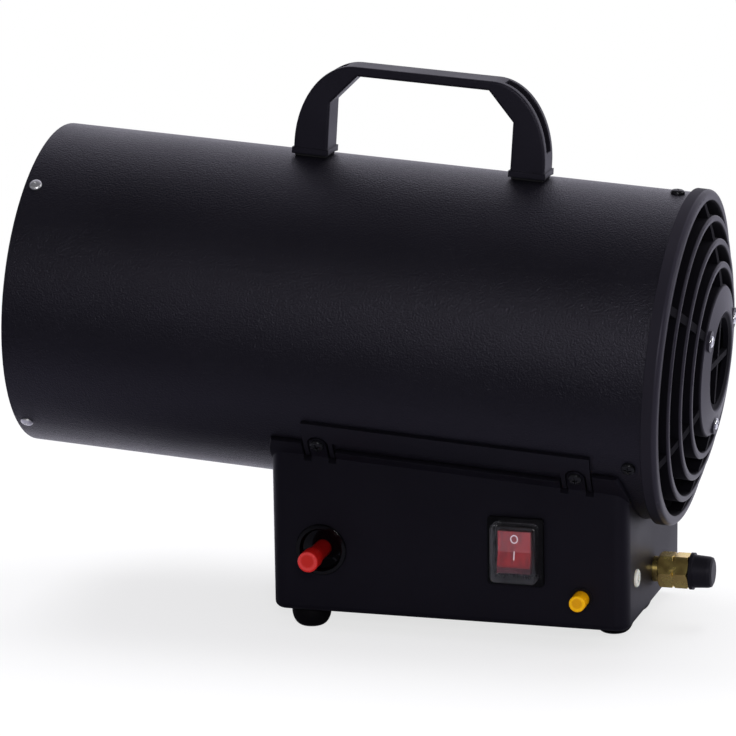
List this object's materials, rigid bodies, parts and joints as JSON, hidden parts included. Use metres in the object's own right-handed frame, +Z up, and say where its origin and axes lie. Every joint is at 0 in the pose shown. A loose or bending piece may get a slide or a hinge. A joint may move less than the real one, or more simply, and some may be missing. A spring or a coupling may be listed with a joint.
{
  "type": "forced air heater",
  "caption": "Portable gas fan heater: tilted steel tube with a domed intake grille and carrying handle, on a moulded control box with gas button, rocker switch and igniter.",
  "frame": {"origin": "on the floor, under the middle of the heater's bounding box", "axes": "+X from the hot-air outlet to the air intake, -Y the control panel, +Z up"},
  "size_m": [0.4012, 0.1898, 0.3138],
  "materials": {
    "casing_paint": "satin",
    "zinc_steel": "satin",
    "dark_screw": "satin",
    "chamber_steel": "satin",
    "burner_steel": "satin",
    "grille_plastic": "satin",
    "handle_plastic": "matt",
    "box_plastic": "matt",
    "foot_rubber": "matt",
    "pad_rubber": "matt",
    "red_plastic": "gloss",
    "rocker_plastic": "gloss",
    "yellow_plastic": "gloss",
    "black_gloss": "gloss",
    "clear_cover": "clear",
    "brass": "bright",
    "valve_brass": "cast",
    "nylon": "satin",
    "ceramic": "glazed",
    "motor_steel": "satin",
    "shaft_steel": "ground",
    "fan_plastic": "satin",
    "cap_rubber": "satin",
    "terminal_plastic": "matt"
  },
  "bodies": {
    "heater": {"outer_casing": "casing_paint", "chamber_rivets": "zinc_steel", "combustion_chamber": "chamber_steel", "chamber_brackets": "chamber_steel", "rear_baffle": "chamber_steel", "burner_cup": "burner_steel", "flame_plate": "burner_steel", "gas_nozzle": "brass", "spark_electrode": "ceramic", "thermocouple": "zinc_steel", "overheat_thermostat": "zinc_steel", "rear_grille": "grille_plastic", "grille_screws": "dark_screw", "motor_screws": "zinc_steel", "fan_motor": "motor_steel", "carry_handle": "handle_plastic", "handle_pads": "pad_rubber", "handle_screws": "zinc_steel", "locating_straps": "casing_paint", "box_screws": "zinc_steel", "control_box": "box_plastic", "rubber_feet": "foot_rubber", "foot_studs": "zinc_steel", "foot_nuts": "zinc_steel", "gas_button_dish": "black_gloss", "gas_valve": "valve_brass", "inlet_pipe": "brass", "feed_pipe": "brass", "switch_housing": "black_gloss", "switch_cover": "clear_cover", "igniter_body": "black_gloss", "igniter_nut": "black_gloss", "inlet_fitting": "brass", "inlet_nut": "brass", "cord_bush": "nylon", "terminal_block": "terminal_plastic"},
    "fan": {"fan_impeller": "fan_plastic", "motor_shaft": "shaft_steel"},
    "gas_button": {"gas_button": "red_plastic"},
    "igniter_button": {"igniter_button": "yellow_plastic"},
    "rocker": {"switch_rocker": "rocker_plastic"},
    "dust_cap": {"inlet_cap": "cap_rubber"}
  },
  "joints": [
    {"name": "fan_spin", "type": "hinge", "parent": "heater", "child": "fan", "pos_m": [0.17346, 0, 0.1554], "axis": [0.9977, 0, -0.068], "continuous": true},
    {"name": "gas_button_press", "type": "slide", "parent": "heater", "child": "gas_button", "axis": [0, 0.9999, 0.0157], "range_m": [0, 0.006], "stiffness_N_per_m": 800, "springref_m": -0.004},
    {"name": "igniter_press", "type": "slide", "parent": "heater", "child": "igniter_button", "axis": [0, 0.9999, 0.0157], "range_m": [0, 0.0045], "stiffness_N_per_m": 1500, "springref_m": -0.003},
    {"name": "switch_rocker_tilt", "type": "hinge", "parent": "heater", "child": "rocker", "pos_m": [0.09656, -0.06898, 0.05609], "axis": [1, 0, 0], "range_deg": [0, 14]},
    {"name": "dust_cap_pull", "type": "slide", "parent": "heater", "child": "dust_cap", "axis": [1, 0, 0], "range_m": [0, 0.03]}
  ]
}
